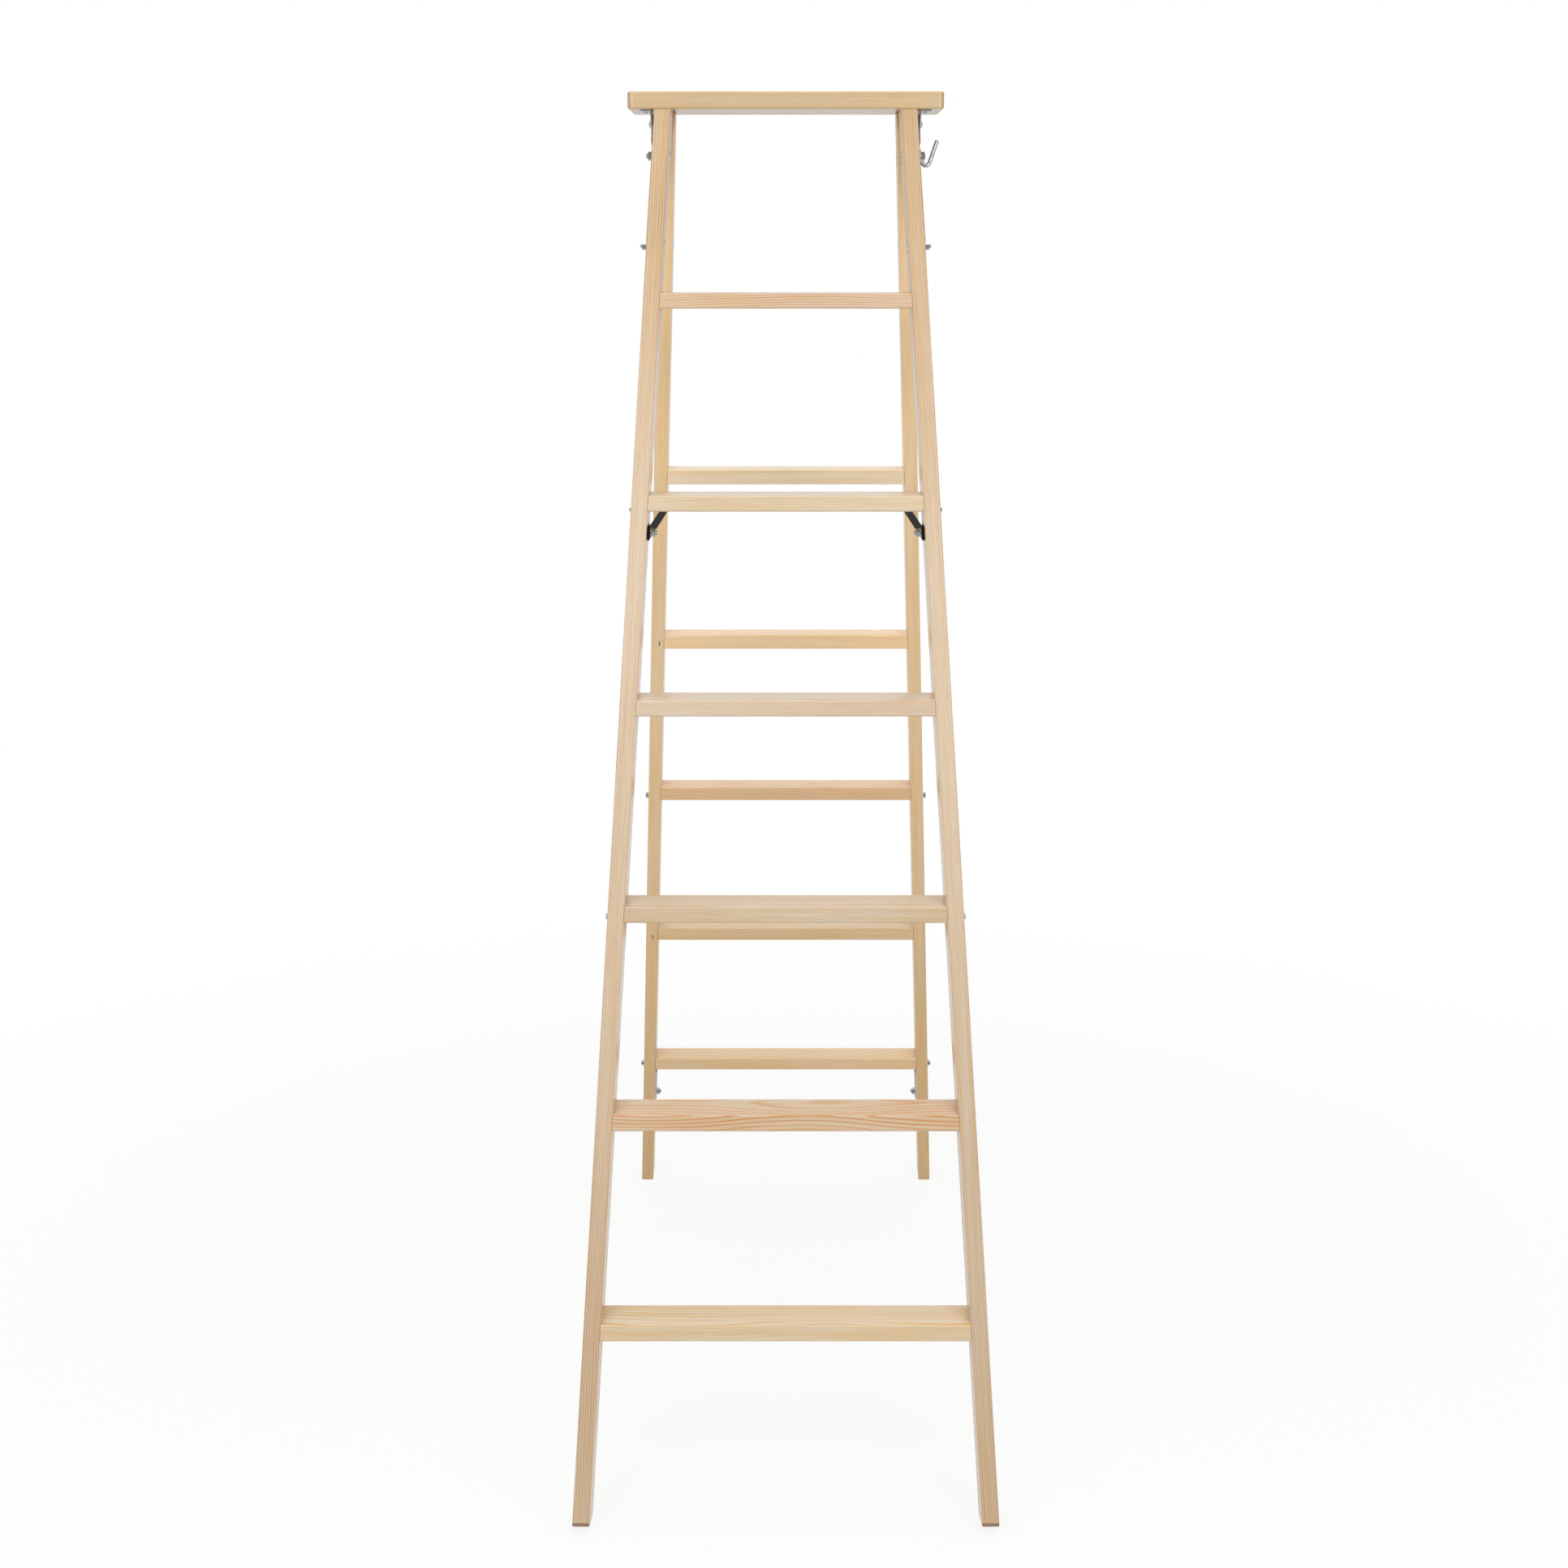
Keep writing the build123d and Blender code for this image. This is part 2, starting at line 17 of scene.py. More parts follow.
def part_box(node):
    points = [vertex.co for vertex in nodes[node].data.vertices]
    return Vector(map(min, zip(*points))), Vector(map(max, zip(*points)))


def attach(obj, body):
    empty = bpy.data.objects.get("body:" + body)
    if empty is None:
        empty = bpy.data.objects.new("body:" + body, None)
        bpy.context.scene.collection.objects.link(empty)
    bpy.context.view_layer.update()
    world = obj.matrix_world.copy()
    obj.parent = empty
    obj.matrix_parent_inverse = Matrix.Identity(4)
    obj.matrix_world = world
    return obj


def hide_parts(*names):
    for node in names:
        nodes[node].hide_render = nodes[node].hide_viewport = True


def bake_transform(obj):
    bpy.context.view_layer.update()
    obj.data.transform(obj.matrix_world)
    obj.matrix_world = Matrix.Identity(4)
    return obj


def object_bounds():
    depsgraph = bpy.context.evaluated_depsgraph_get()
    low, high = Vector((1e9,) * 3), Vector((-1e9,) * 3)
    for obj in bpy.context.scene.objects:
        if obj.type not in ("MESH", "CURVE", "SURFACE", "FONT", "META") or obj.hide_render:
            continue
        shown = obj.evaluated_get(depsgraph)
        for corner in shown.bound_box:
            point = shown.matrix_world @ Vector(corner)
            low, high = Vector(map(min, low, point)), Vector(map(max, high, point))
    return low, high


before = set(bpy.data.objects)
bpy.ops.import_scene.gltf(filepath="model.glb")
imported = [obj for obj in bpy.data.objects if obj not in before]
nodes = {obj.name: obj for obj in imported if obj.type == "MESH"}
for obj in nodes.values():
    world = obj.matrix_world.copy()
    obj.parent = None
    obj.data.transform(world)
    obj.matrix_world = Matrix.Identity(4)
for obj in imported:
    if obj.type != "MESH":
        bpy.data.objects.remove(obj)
cad_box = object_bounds()
MM = 0.001

# %% [markdown]
# ## Colours and nodes
# Colours are easy to read as hex values, the way a picture editor shows them. The renderer works in linear
# light, so one function converts them. Shader nodes could be wired by hand in the editor, but a script that
# adds them can be read from top to bottom. So a second function adds a node: it sets the node's options and
# its sockets, and where a socket is given another node's output, it draws the link. Many patterns need a
# value stretched from one range to another, and a third function writes down the settings for that.


# %% Helpers for colours and nodes
def linear(hex_colour):
    """An sRGB hex colour as linear red, green, blue and full alpha."""
    channels = [int(hex_colour[i:i + 2], 16) / 255 for i in (1, 3, 5)]
    return [c / 12.92 if c <= 0.04045 else ((c + 0.055) / 1.055) ** 2.4 for c in channels] + [1.0]


def add_node(tree, kind, sockets=None, **options):
    """A new node with its options set, and its sockets set or linked."""
    node = tree.nodes.new(kind)
    for name, value in options.items():
        setattr(node, name, value)
    for key, value in (sockets or {}).items():
        if isinstance(value, bpy.types.NodeSocket):
            tree.links.new(value, node.inputs[key])
        else:
            node.inputs[key].default_value = value
    return node


def span(value, low, high, start=0.3, end=0.7):
    """Settings that stretch a range of a value to another; most of a noise lies between 0.3 and 0.7."""
    return {"Value": value, "From Min": start, "From Max": end, "To Min": low, "To Max": high}


def new_finish(name):
    """An empty material and its principled shader, ready to be given a pattern."""
    finish = bpy.data.materials.new(name)
    finish.use_nodes = True
    return finish, finish.node_tree, finish.node_tree.nodes["Principled BSDF"]


print("helpers ready, white is", linear("#FFFFFF")[:3])

# %% [markdown]
# ## Places in a board
# A picture of wood could be wrapped round each board, but it would stop at the edges. Grain worked out in
# space runs on round every edge, as in real wood. It belongs to the board, not to the room, so each board
# gets its own three directions: across the fibres, through the board and along the fibres. Points are
# measured in millimetres from the heart of the tree that the board was cut from, a line that runs along the
# board some way outside it. Noises are laid out the same way, with lumps that are long along the fibres.

# %% Places in a board
# Size of the lumps in millimetres, across and along the fibres, and how much finer detail each noise has.
NOISES = {
    "bend": (250, 420, 1.0),               # the trunk's slow bends
    "wobble": (50 / 3, 500 / 3, 2.0),      # uneven rings
    "patch": (250 / 3, 1000 / 3, 2.0),     # places where the rings are faint
    "fibre": (0.7, 40, 3.0),               # drawn a little coarser than real fibres, so that they show
    "streak": (7, 250, 2.0),               # bands of warmer and cooler wood that some years leave
}


def measured_in_board(tree, place, centre, along, heart_mm):
    """How far a point lies across, through and along a board from its heart, in millimetres."""
    stands = abs(along.x) < abs(along.z)
    through = along.cross(Vector((1, 0, 0) if stands else (0, 0, 1))).normalized()
    across = through.cross(along)
    heart = Vector(centre) + (across * heart_mm[0] + through * heart_mm[1]) * MM
    from_heart = add_node(tree, "ShaderNodeVectorMath", {0: place, 1: heart}, operation="SUBTRACT").outputs[0]
    return [add_node(tree, "ShaderNodeVectorMath", {0: from_heart, 1: axis / MM},
                     operation="DOT_PRODUCT").outputs["Value"] for axis in (across, through, along)]


def board_noise(tree, in_board, name):
    """One of the noises, stretched along the board."""
    across_mm, along_mm, detail = NOISES[name]
    lumps = (1 / across_mm, 1 / across_mm, 1 / along_mm)
    where = add_node(tree, "ShaderNodeVectorMath", {0: in_board, 1: lumps}, operation="MULTIPLY")
    return add_node(tree, "ShaderNodeTexNoise", {
        "Vector": where.outputs[0], "Scale": 1.0, "Detail": detail}).outputs


print("noises along the grain:", ", ".join(NOISES))

# %% [markdown]
# ## Year rings
# Pine grows a ring a year: a wide pale band of soft early wood, then a thin orange line of hard late wood.
# Straight stripes would be simpler, but a planed board is a flat cut through rings, so the right pattern
# comes from the tree itself: a ring is a distance from the heart. A slow noise bends the trunk, which opens
# the rings into long flames. Good years and bad ones leave stronger and fainter lines.

# %% Year rings
RING_MM = 2.9             # one year's growth
WOBBLE_MM = 3.2           # how far the rings wander
FAINTEST_YEAR = 0.42      # strength of the faintest year's line, as a share of the strongest
# Share of late wood from the start of a year to its end.
SEASON = ((0.0, 0.10), (0.10, 0.0), (0.55, 0.08), (0.82, 0.95), (0.92, 1.0), (1.0, 0.10))


def rings_from_heart(tree, in_board, flame_mm):
    """How many rings lie between a point and the heart of its swaying trunk."""
    bend = board_noise(tree, in_board, "bend")["Color"]
    bent = add_node(tree, "ShaderNodeVectorMath", {0: bend, 1: (flame_mm, flame_mm, 0.0), 2: in_board},
                    operation="MULTIPLY_ADD").outputs[0]
    flat = add_node(tree, "ShaderNodeVectorMath", {0: bent, 1: (1, 1, 0)}, operation="MULTIPLY").outputs[0]
    radius = add_node(tree, "ShaderNodeVectorMath", {0: flat}, operation="LENGTH").outputs["Value"]
    wobble = board_noise(tree, in_board, "wobble")[0]
    uneven = add_node(tree, "ShaderNodeMath", {0: wobble, 1: WOBBLE_MM, 2: radius}, operation="MULTIPLY_ADD")
    return add_node(tree, "ShaderNodeMath", {0: uneven.outputs[0], 1: RING_MM}, operation="DIVIDE").outputs[0]


def late_share(tree, rings):
    """The share of late wood at each point, by the season in which it grew."""
    season = add_node(tree, "ShaderNodeMath", {0: rings}, operation="FRACT")
    late_wood = add_node(tree, "ShaderNodeValToRGB", {0: season.outputs[0]})
    ramp = late_wood.color_ramp.elements
    for position, _ in SEASON[1:-1]:
        ramp.new(position)
    for element, (position, share) in zip(ramp, SEASON):
        element.position = position
        element.color = (share, share, share, 1)
    return late_wood.outputs["Color"]


def ring_lines(tree, rings, late_wood, contrast, coarse):
    """How strongly the late wood shows at each point."""
    year = add_node(tree, "ShaderNodeMath", {0: rings}, operation="FLOOR").outputs[0]
    chance = add_node(tree, "ShaderNodeTexWhiteNoise", {"W": year}, noise_dimensions="1D").outputs["Value"]
    strength = add_node(tree, "ShaderNodeMapRange",
                        span(chance, FAINTEST_YEAR * contrast, contrast, 0.0, 1.0)).outputs[0]
    faded = add_node(tree, "ShaderNodeMath", {0: strength, 1: coarse}, operation="MULTIPLY").outputs[0]
    return add_node(tree, "ShaderNodeMath", {0: late_wood, 1: faded},
                    operation="MULTIPLY", use_clamp=True).outputs[0]


print("pine rings every", RING_MM, "mm")

# %% [markdown]
# ## Colours of the wood
# Late wood is drawn on early wood, in tones that differ from tree to tree. Bands of warmer and cooler wood
# run along a board. They change blue much more than red, so the eye sees yellower and paler wood side by
# side. Where a saw cut across the fibres, the open pores drink the light, so a cut end looks darker and
# browner than the faces beside it. All this could be painted by hand on each piece, but worked out from a
# board's own directions it fits every board at once.

# %% Colours of the wood
# Early and late wood, in the tones of different trees.
TONES = {
    "straw": ("#F0DBBA", "#EAB664"), "rose": ("#EFD9BC", "#E8A45C"), "tan": ("#E8D2B2", "#DCA664"),
    "honey": ("#E8CA9E", "#E0AC60"), "amber": ("#E8C59A", "#DC9046"), "coral": ("#EED3AE", "#E4944C"),
}
END_WOOD_AND_SHADE_TINT = "#F0EADB"     # darker towards the ends of a long board: the wood's own colour at the top of a front stile, painted shade at the lower ends of the stiles
MIDDLE_MM = (-100.0, 100.0)            # where the lower end's darkening goes over into the upper end's
STREAK_TINT = (0.01, 0.07, 0.17)       # how far the bands swing red, green and blue
END_GRAIN = ("#D2B69E", "#8F6244")     # tints of the open ends of early and late wood
END_ON = (0.45, 0.7)      # how far a face looks along the fibres, from a plain face to a full cut end


def pine_colour(tree, lines, tone, butt, along_mm, end_darkening):
    """Early and late wood, darker towards the ends by a share for the lower and one for the upper; a lower
    end's darkening is painted shade.
    """
    early, late = (linear(colour) for colour in TONES[tone])
    ringed = add_node(tree, "ShaderNodeMix", {0: lines, 6: early, 7: late}, data_type="RGBA").outputs[2]
    end_share = add_node(tree, "ShaderNodeMapRange", span(along_mm, *end_darkening, *MIDDLE_MM)).outputs[0]
    darkened_ends = add_node(tree, "ShaderNodeMath", {0: butt, 1: end_share}, operation="MULTIPLY").outputs[0]
    return add_node(tree, "ShaderNodeMix", {0: darkened_ends, 6: ringed, 7: linear(END_WOOD_AND_SHADE_TINT)},
                    data_type="RGBA", blend_type="MULTIPLY").outputs[2]


def streaked(tree, wood, streak, level):
    """The wood's colour with its warm and cool bands, at a level of brightness."""
    swing = add_node(tree, "ShaderNodeCombineXYZ", {
        axis: add_node(tree, "ShaderNodeMapRange", span(streak, 1 + tint, 1 - tint)).outputs[0]
        for axis, tint in zip("XYZ", STREAK_TINT)})
    banded = add_node(tree, "ShaderNodeVectorMath", {0: wood, 1: swing.outputs[0]}, operation="MULTIPLY")
    return add_node(tree, "ShaderNodeVectorMath", {0: banded.outputs[0], "Scale": level},
                    operation="SCALE").outputs[0]


def with_cut_ends(tree, colour, normal, along, late_wood, sawn):
    """The colour, darkened by a share where a face looks along the fibres."""
    facing = add_node(tree, "ShaderNodeVectorMath", {0: normal, 1: along}, operation="DOT_PRODUCT")
    end_on = add_node(tree, "ShaderNodeMath", {0: facing.outputs["Value"]}, operation="ABSOLUTE").outputs[0]
    share = add_node(tree, "ShaderNodeMapRange", span(end_on, 0.0, sawn, *END_ON)).outputs[0]
    early, late = (linear(tint) for tint in END_GRAIN)
    tint = add_node(tree, "ShaderNodeMix", {0: late_wood, 6: early, 7: late}, data_type="RGBA").outputs[2]
    return add_node(tree, "ShaderNodeMix", {0: share, 6: colour, 7: tint},
                    data_type="RGBA", blend_type="MULTIPLY").outputs[2]


print(len(TONES), "tones of pine")

# %% [markdown]
# ## Planed pine
# The finish puts these together. Long boards turn coarser towards their ends and darker: at the top of a
# front stile that is the wood's own colour, at the lower ends of the stiles it is painted shade. A plane
# leaves pine smooth, with the hard lines standing a hair proud, so the shine is dull and silky at an IOR of
# about
# 1.5: to the eye, faces seen at a slant look paler than the rest. One finish with a few settings for each
# board is less work than a finish for each, and it keeps the boards alike where they should be.

# %% Planed pine
BUTT_MM = (250.0, 750.0)  # from here to here off a long board's middle, it turns coarser and darker, the darker colour partly painted shade
BUTT_COARSE = 0.8         # how much stronger the rings get there
PATCH_LINES = (1.0, 0.5)  # strength of the rings outside and inside the faint patches
PATCH_LEVEL = (0.97, 1.03)     # brightness outside and inside them
FIBRE_LEVEL = (0.95, 1.04)     # brightness between the fibres and on them
SILK = (0.20, 0.32)       # roughness between the fibres and on them
LINE_RELIEF = 0.6         # how far the rings stand proud, as a share of the fibres
GRAIN_DEPTH_MM = 0.1
SAWN = 0.4                # how much a board's cut ends darken


def planed_pine(name, centre, along, tone, shade, contrast, heart_mm, flame_mm, sawn=SAWN, end_darkening=(0.0, 0.0)):
    """Pine for one board, whose fibres run along a direction; the heart lies off the board's centre."""
    finish, tree, shader = new_finish(name)
    along = Vector(along).normalized()
    place = add_node(tree, "ShaderNodeTexCoord").outputs
    measured = measured_in_board(tree, place["Object"], centre, along, heart_mm)
    in_board = add_node(tree, "ShaderNodeCombineXYZ", dict(zip("XYZ", measured))).outputs[0]
    patch, fibre, streak = (board_noise(tree, in_board, kind)[0] for kind in ("patch", "fibre", "streak"))

    off_middle = add_node(tree, "ShaderNodeMath", {0: measured[2]}, operation="ABSOLUTE").outputs[0]
    butt = add_node(tree, "ShaderNodeMapRange", span(off_middle, 0.0, 1.0, *BUTT_MM)).outputs[0]
    clear = add_node(tree, "ShaderNodeMapRange", span(patch, *PATCH_LINES)).outputs[0]
    coarse = add_node(tree, "ShaderNodeMath", {0: butt, 1: BUTT_COARSE, 2: clear},
                      operation="MULTIPLY_ADD").outputs[0]
    rings = rings_from_heart(tree, in_board, flame_mm)
    late_wood = late_share(tree, rings)
    lines = ring_lines(tree, rings, late_wood, contrast, coarse)

    wood = pine_colour(tree, lines, tone, butt, measured[2], end_darkening)
    # The shade scales the colour: partly the board's own brightness, partly painted light.
    fibres = add_node(tree, "ShaderNodeMapRange", span(fibre, *(level * shade for level in FIBRE_LEVEL)))
    patches = add_node(tree, "ShaderNodeMapRange", span(patch, *PATCH_LEVEL))
    level = add_node(tree, "ShaderNodeMath", {0: fibres.outputs[0], 1: patches.outputs[0]},
                     operation="MULTIPLY").outputs[0]
    colour = streaked(tree, wood, streak, level)
    colour = with_cut_ends(tree, colour, place["Normal"], along, late_wood, sawn)
    tree.links.new(colour, shader.inputs["Base Color"])

    silk = add_node(tree, "ShaderNodeMapRange", span(fibre, *SILK))
    tree.links.new(silk.outputs[0], shader.inputs["Roughness"])
    grain = add_node(tree, "ShaderNodeMath", {0: lines, 1: LINE_RELIEF, 2: fibre}, operation="MULTIPLY_ADD")
    relief = add_node(tree, "ShaderNodeBump", {
        "Height": grain.outputs[0], "Strength": 0.3, "Distance": GRAIN_DEPTH_MM * MM})
    tree.links.new(relief.outputs[0], shader.inputs["Normal"])
    shader.inputs["IOR"].default_value = 1.5
    return finish


print("planed pine is ready, its grain", GRAIN_DEPTH_MM, "mm deep")

# %% [markdown]
# ## The stiles
# Stiles stand on end, so their fibres follow the lean and the splay of the frame. The pieces themselves
# aren't turned, so the direction is worked out from those angles. A heart beside a stile gives straight
# lines on the narrow face that is seen. Every board has its own heart, so no two repeat.

# %% Grain for the stiles
FRONT_LEAN = radians(16.0)
REAR_LEAN = radians(17.5)
FRONT_SPLAY = 0.0538      # sideways for each step along the stile
REAR_SPLAY = 0.0464
# A lower end's darkening is painted shade, for the weaker light low down; an upper end's is the wood's own
# colour.
FRONT_END_DARKENING = (0.4, 1.0)   # how dark the lower and the upper end get
REAR_END_DARKENING = (0.8, 0.0)
STILE_SAWN = 1.0
# Tone, shade, strength of grain, place of the heart off the board's centre and sway of the trunk. The shade
# is partly each board's own brightness and partly painted light: the rear stiles are made brighter for the
# light they lack.
STILES = {
    "front_stile_left": ("rose", 0.91, 0.7, (96, 14), 12),
    "front_stile_right": ("rose", 0.89, 0.7, (-104, 11), 12),
    "rear_stile_left": ("honey", 1.15, 0.25, (150, 30), 8),
    "rear_stile_right": ("honey", 1.15, 0.25, (-140, 24), 8),
}


def dress(name, finish):
    """Give a piece of the model its finish."""
    mesh = nodes[name].data
    mesh.materials.clear()
    mesh.materials.append(finish)


def middle(name):
    """The centre of a piece's box."""
    low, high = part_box(name)
    return (low + high) / 2


for name, cut in STILES.items():
    hand = 1 if name.endswith("left") else -1
    if name.startswith("front"):
        along = (hand * FRONT_SPLAY, sin(FRONT_LEAN), cos(FRONT_LEAN))
        end_darkening = FRONT_END_DARKENING
    else:
        along = (hand * REAR_SPLAY, -sin(REAR_LEAN), cos(REAR_LEAN))
        end_darkening = REAR_END_DARKENING
    dress(name, planed_pine("Planed pine, " + name, middle(name), along, *cut, sawn=STILE_SAWN, end_darkening=end_darkening))
print("grain set on", len(STILES), "stiles")

# %% [markdown]
# ## Treads, rungs and platform
# These boards lie across the ladder, so their fibres run left to right. A heart below a tread gives broad
# flames on its top and fine lines on its front. One cut for all would show the same flames on every tread,
# so a table gives each board its own, in the same order as for the stiles.

# %% Grain for the treads, rungs and platform
# Columns as for the stiles. Here too the shade is partly each board's own brightness and partly painted
# light: the rear rungs are made brighter for the light they lack, and the treads darker towards the top,
# nearer the lamps.
LEVEL_BOARDS = {
    "tread_1": ("straw", 0.98, 1.4, (-66, 50), 30), "tread_2": ("coral", 0.93, 1.3, (-52, -6), 34),
    "tread_3": ("tan", 0.9, 1.0, (-110, 40), 20), "tread_4": ("rose", 0.87, 0.6, (90, 34), 18),
    "tread_5": ("straw", 0.87, 0.55, (-120, -20), 22), "tread_6": ("rose", 0.82, 1.5, (-95, 10), 16),
    "rung_1": ("honey", 1.17, 0.6, (-60, 80), 12), "rung_2": ("honey", 1.08, 0.45, (110, -60), 12),
    "rung_3": ("amber", 1.14, 0.8, (-60, 8), 20), "rung_4": ("honey", 1.29, 0.35, (-110, 50), 14),
    "rung_5": ("straw", 1.1, 0.3, (-110, 18), 14), "top_platform": ("honey", 0.85, 0.35, (-150, 30), 18),
}
for name, cut in LEVEL_BOARDS.items():
    dress(name, planed_pine("Planed pine, " + name, middle(name), (1, 0, 0), *cut))
print("grain set on", len(LEVEL_BOARDS), "level boards")

# %% [markdown]
# ## Zinc-plated steel
# Bolts, nuts, rods and plates of such a ladder are steel with a thin bright zinc coat. The coat is a metal,
# slightly blue-grey, and its crystals and the handling of the parts leave soft cloudy patches. An even grey
# would look like plastic. So a cloud noise drives both the colour and the roughness, and the eye sees
# bright metal with duller places.

# %% Zinc-plated steel
CLOUD_MM = 5.0            # size of the patches
COAT_DEPTH_MM = 0.05


def zinc_plate(name, bright, dull, smooth, worn):
    """Plated steel with cloudy patches, from a bright to a duller shade."""
    finish, tree, shader = new_finish(name)
    place = add_node(tree, "ShaderNodeTexCoord").outputs["Object"]
    cloud = add_node(tree, "ShaderNodeTexNoise", {
        "Vector": place, "Scale": 1 / (CLOUD_MM * MM), "Detail": 4.0, "Roughness": 0.6}).outputs[0]
    shade = add_node(tree, "ShaderNodeMix", {0: cloud, 6: linear(bright), 7: linear(dull)}, data_type="RGBA")
    tree.links.new(shade.outputs[2], shader.inputs["Base Color"])
    gloss = add_node(tree, "ShaderNodeMapRange", span(cloud, smooth, worn, 0.0, 1.0))
    tree.links.new(gloss.outputs[0], shader.inputs["Roughness"])
    relief = add_node(tree, "ShaderNodeBump", {
        "Height": cloud, "Strength": 0.15, "Distance": COAT_DEPTH_MM * MM})
    tree.links.new(relief.outputs[0], shader.inputs["Normal"])
    shader.inputs["Metallic"].default_value = 1.0
    return finish


fixing_zinc = zinc_plate("Zinc-plated steel, fixings", "#D6D9DC", "#9AA0A6", 0.2, 0.38)
sheet_zinc = zinc_plate("Zinc-plated steel, hinge sheet", "#D4D6D8", "#A6AAAD", 0.24, 0.4)
SHEETS = ("hinge_plate", "keeper_plate")
FIXINGS = ("hinge_", "tie_rod", "strap_bolt", "keeper_bolt", "tab_screws", "bucket_hook")
plated = [name for name in nodes if name.startswith(SHEETS + FIXINGS)]
for name in plated:
    dress(name, sheet_zinc if name.startswith(SHEETS) else fixing_zinc)
print("plated", len(plated), "metal pieces")

# %% [markdown]
# ## Black polyester webbing
# Two flat straps of black polyester webbing stop the frames from sliding apart. Webbing is woven, with
# thick weft ribs across the band and bundles of warp yarn along it. It could be modelled yarn by yarn, but
# from this far two wave patterns multiplied look the same. Its matt yarns swallow light, so the eye sees a
# soft black with a fine ribbed grain. Its colour is painted darker in the hollows of the weave as shade, and
# paler on the raised yarns as highlight.

# %% Black polyester webbing
RIB_MM = 1.7              # weft ribs across the band, drawn a little coarser than real ones so that they show
YARN_MM = 3.4             # bundles of warp yarn along it
WAVES = 3.1831            # bands in one unit of a wave pattern whose scale is 1
YARN_SHADE_AND_HIGHLIGHT = ("#070607", "#3A383C")     # painted shade in the hollows of the weave and painted highlight on top of it
WEAVE_DEPTH_MM = 0.2


def woven_webbing(name):
    """Black polyester webbing: ribs across the band and yarns along it, with painted shade in the hollows and
    painted highlight on the yarns.
    """
    finish, tree, shader = new_finish(name)
    place = add_node(tree, "ShaderNodeTexCoord").outputs["Object"]
    ribs = add_node(tree, "ShaderNodeTexWave", {
        "Vector": place, "Scale": 1 / (RIB_MM * MM * WAVES), "Distortion": 0.3},
        wave_type="BANDS", bands_direction="Y")
    yarns = add_node(tree, "ShaderNodeTexWave", {
        "Vector": place, "Scale": 1 / (YARN_MM * MM * WAVES), "Distortion": 0.2},
        wave_type="BANDS", bands_direction="Z")
    weave = add_node(tree, "ShaderNodeMath", {0: ribs.outputs["Fac"], 1: yarns.outputs["Fac"]},
                     operation="MULTIPLY").outputs[0]
    # Painted shade in the hollows and painted highlight on the raised yarns.
    hollow_shade, raised_highlight = (linear(colour) for colour in YARN_SHADE_AND_HIGHLIGHT)
    shade = add_node(tree, "ShaderNodeMix", {0: weave, 6: hollow_shade, 7: raised_highlight}, data_type="RGBA")
    tree.links.new(shade.outputs[2], shader.inputs["Base Color"])
    relief = add_node(tree, "ShaderNodeBump", {
        "Height": weave, "Strength": 0.6, "Distance": WEAVE_DEPTH_MM * MM})
    tree.links.new(relief.outputs[0], shader.inputs["Normal"])
    shader.inputs["Roughness"].default_value = 0.9
    shader.inputs["IOR"].default_value = 1.55
    shader.inputs["Specular IOR Level"].default_value = 0.15
    return finish


webbing = woven_webbing("Black polyester webbing")
print("webbing with ribs every", RIB_MM, "mm")

# %% [markdown]
# ## Line of a strap
# Each strap is one ribbon whose ends are folded back under it where the bolts go through, so that the holes
# can't tear out. Its line could be a list of fixed points, but level rays that measure the stiles' inner
# faces fit it to the wood. It keeps a little off them: along a hem, round a half turn, across to the other
# stile, round again and back.

# %% Line of a strap
STRAP_MM = 1.6            # thickness of the webbing
CLEAR_MM = 0.15           # air between the webbing and the wood
HEM_MM = 28.0             # length folded back at each end
REAR_FLAT_MM = 42.4       # length that lies along the rear stile
STEP_MM = 4.0             # length of the line's steps
EASINGS = 3               # how many times its bends are eased
TURN_DEGREES = (30, 60, 90, 120, 150)


def surface(name):
    """A piece's surface, ready for rays."""
    mesh = nodes[name].data
    return BVHTree.FromPolygons([v.co for v in mesh.vertices], [p.vertices for p in mesh.polygons])


def stepped(corners):
    """A line through the corners in short steps, its bends eased."""
    points = []
    for start, end in zip(corners, corners[1:]):
        count = max(2, round((end - start).length / (STEP_MM * MM)))
        points += [start.lerp(end, i / count) for i in range(count)]
    points.append(corners[-1])
    for _ in range(EASINGS):
        eased = [(a + b * 2 + c) / 4 for a, b, c in zip(points, points[1:], points[2:])]
        points = [points[0]] + eased + [points[-1]]
    return points


def turned(start, end, outward):
    """Points of a half turn from one layer of webbing to the next."""
    centre = (start + end) / 2
    arm = (start - end) / 2
    swing = Vector((0, outward, 0)) * arm.length
    return [centre + arm * cos(radians(t)) + swing * sin(radians(t)) for t in TURN_DEGREES]


def strap_line(side):
    """A strap's middle line from hem to hem, the corners of its run, and its slanting height."""
    hand = -1 if side == "left" else 1
    low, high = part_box("strap_" + side)
    mid_height = (low.z + high.z) / 2
    faces = {part: surface(part + "_stile_" + side) for part in ("front", "rear")}

    def beside(part, y, layer, z=mid_height):
        """A point of one layer of webbing beside a stile's inner face."""
        face = faces[part].ray_cast(Vector((0, y, z)), Vector((hand, 0, 0)))[0].x
        return Vector((face - hand * (CLEAR_MM + STRAP_MM * (layer + 0.5)) * MM, y, z))

    hem = HEM_MM * MM
    run = [beside("front", low.y, 1), beside("front", low.y + hem, 1),
           beside("rear", high.y - REAR_FLAT_MM * MM, 1), beside("rear", high.y, 1)]
    front_hem = [beside("front", low.y + hem, 0), beside("front", low.y, 0)]
    rear_hem = [beside("rear", high.y, 0), beside("rear", high.y - hem, 0)]
    line = (front_hem + turned(front_hem[-1], run[0], -1) + stepped(run)
            + turned(run[-1], rear_hem[0], 1) + rear_hem)
    return line, run, beside("front", low.y, 1, high.z) - beside("front", low.y, 1, low.z)


